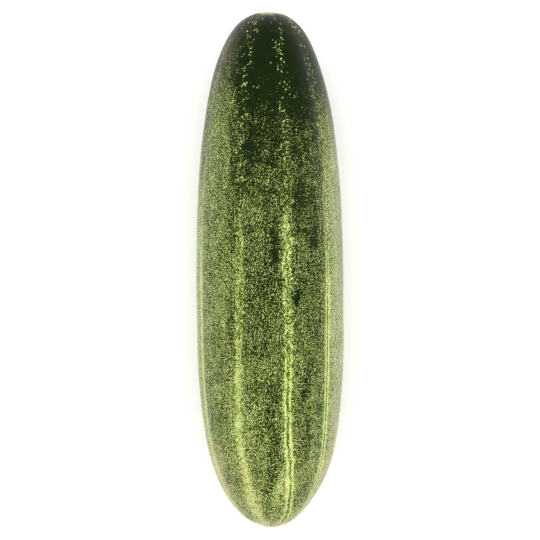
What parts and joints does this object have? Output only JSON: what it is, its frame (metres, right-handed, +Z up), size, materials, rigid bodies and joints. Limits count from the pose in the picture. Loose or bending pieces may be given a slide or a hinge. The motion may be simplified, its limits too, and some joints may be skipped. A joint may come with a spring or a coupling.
{
  "type": "cucumber",
  "caption": "Short, thick slicing cucumber, picked and lying on its side, with a mottled dark green skin and pale lengthwise veins.",
  "frame": {"origin": "middle of the footprint, at the height of the surface that the fruit lies on", "axes": "+Y along the fruit towards the stem end, +Z up, +X to the right when seen from above with the stem end away from the viewer"},
  "size_m": [0.053, 0.185, 0.0526],
  "materials": {
    "cucumber_skin": "thin waxy sheen over dark green skin with fine pale flecks"
  },
  "bodies": {
    "root": {"cucumber": "cucumber_skin"}
  },
  "joints": []
}
